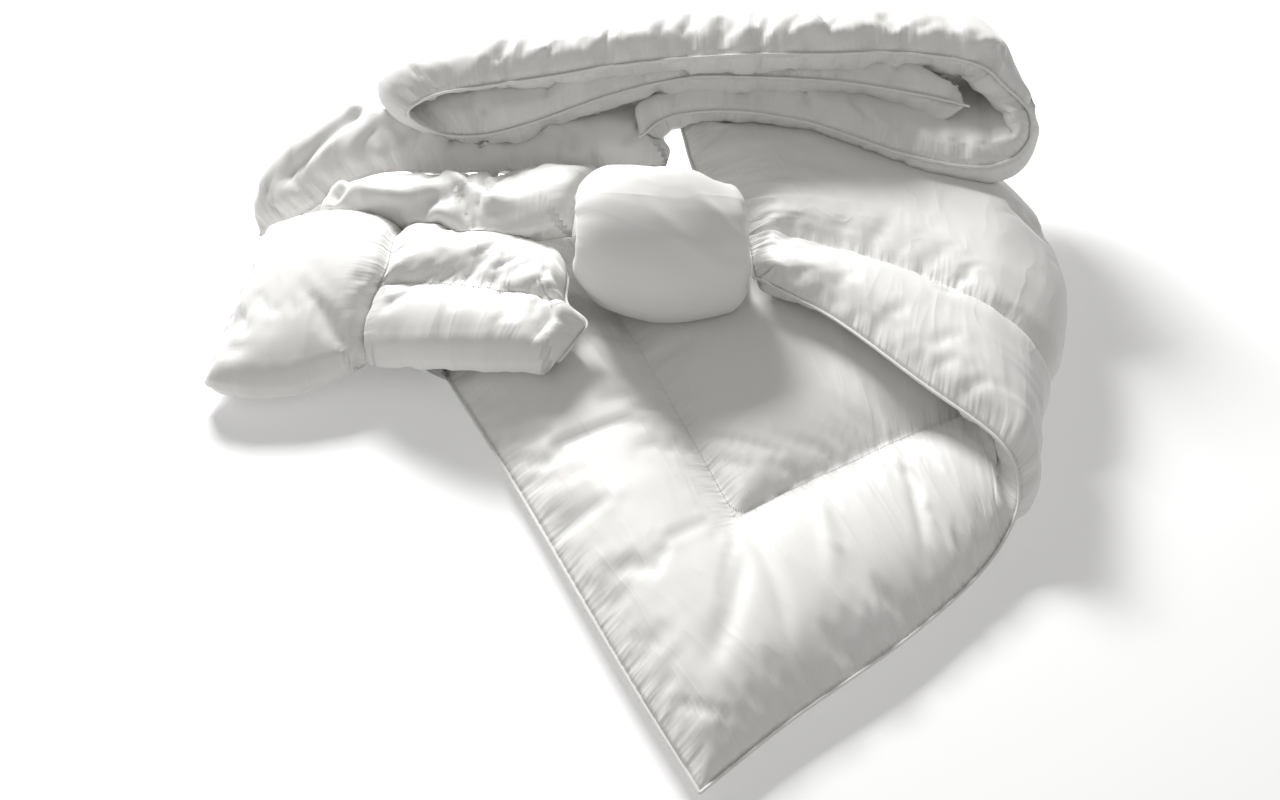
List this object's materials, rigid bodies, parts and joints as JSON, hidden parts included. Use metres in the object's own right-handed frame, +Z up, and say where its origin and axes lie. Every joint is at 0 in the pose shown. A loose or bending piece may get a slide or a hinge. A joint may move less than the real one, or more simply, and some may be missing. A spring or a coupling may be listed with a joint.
{
  "type": "duvet",
  "caption": "Loosely folded quilted duvet with a bordered centre field, soft wadding inside a smooth cotton cover, piped edges and a small care label.",
  "frame": {"origin": "middle of the folded pile's footprint, on the surface it rests on", "axes": "+Z up, the free front corner points towards -Y, the piled-up folds lie towards +Y"},
  "size_m": [1.4238, 1.457, 0.3908],
  "materials": {
    "cover": "smooth cotton with a faint sheen",
    "filling": "soft fibre wadding",
    "piping": "smooth cotton",
    "thread": "cotton thread",
    "label": "satin"
  },
  "bodies": {
    "root": {"back_stack_fill": "filling", "back_stack_front_piping": "piping", "back_stack_lower_cover": "cover", "back_stack_rear_piping": "piping", "back_stack_upper_cover": "cover", "care_label": "label", "centre_roll_fill": "filling", "centre_roll_lower_cover": "cover", "centre_roll_upper_cover": "cover", "front_fold_centre_fill": "filling", "front_fold_front_border_fill": "filling", "front_fold_front_piping": "piping", "front_fold_inner_frame_thread": "thread", "front_fold_left_piping": "piping", "front_fold_lower_cover": "cover", "front_fold_outer_frame_thread": "thread", "front_fold_right_piping": "piping", "front_fold_side_border_fill": "filling", "front_fold_upper_cover": "cover", "left_fold_cross_thread": "thread", "left_fold_end_fill": "filling", "left_fold_front_fill": "filling", "left_fold_long_thread": "thread", "left_fold_lower_cover": "cover", "left_fold_right_piping": "piping", "left_fold_top_fill": "filling", "left_fold_upper_cover": "cover", "middle_fold_fill": "filling", "middle_fold_lower_cover": "cover", "middle_fold_upper_cover": "cover", "side_fold_fill": "filling", "side_fold_lower_cover": "cover", "side_fold_upper_cover": "cover"}
  },
  "joints": []
}
